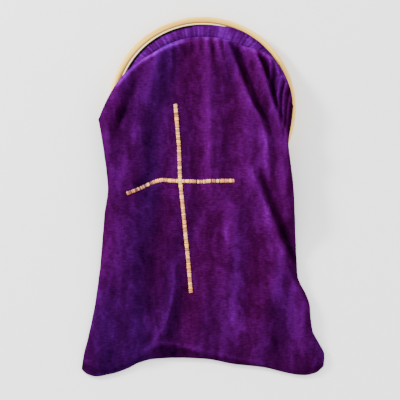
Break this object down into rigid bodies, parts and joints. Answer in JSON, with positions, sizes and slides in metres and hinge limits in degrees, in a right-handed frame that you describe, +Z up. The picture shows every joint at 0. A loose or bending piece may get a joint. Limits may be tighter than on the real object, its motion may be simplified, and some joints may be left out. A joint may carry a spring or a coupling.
{
  "type": "offering bag",
  "caption": "Round bentwood hoop carrying a gathered, lined velvet pouch with a thin braid cross on its front, lying flat, mouth down, for collecting offerings.",
  "frame": {"origin": "middle of the footprint, on the surface that the bag lies on", "axes": "+Y from the pouch's hem to the far side of the hoop, +X to the right as seen from above with the hoop at the far end, +Z up"},
  "size_m": [0.2362, 0.3644, 0.0279],
  "materials": {
    "velvet": "matte",
    "lining": "satin",
    "hoop_wood": "satin",
    "inner_wood": "matte",
    "binding": "matte",
    "filler": "matte",
    "thread": "matte",
    "braid": "satin"
  },
  "bodies": {
    "bag": {"front_panel_lower": "velvet", "front_lining_lower": "lining", "back_panel_lower": "velvet", "back_lining_lower": "lining", "side_seam_lower_left": "velvet", "side_seam_lower_right": "velvet", "hem_seam": "velvet", "cross_upright_lower": "braid"},
    "hoop": {"hoop_outer_band": "hoop_wood", "hoop_inner_band": "inner_wood", "mouth_binding": "binding", "mouth_header": "velvet", "header_roll": "filler", "gathering_thread": "thread", "front_panel_upper": "velvet", "front_lining_upper": "lining", "back_panel_upper": "velvet", "back_lining_upper": "lining", "side_seam_upper_left": "velvet", "side_seam_upper_right": "velvet", "cross_upright_upper": "braid", "cross_arm": "braid"}
  },
  "joints": [
    {"name": "mouth_fold", "type": "hinge", "parent": "bag", "child": "hoop", "pos_m": [0, -0.00779, 0.0269], "axis": [1, 0, 0], "range_deg": [0, 90]}
  ]
}
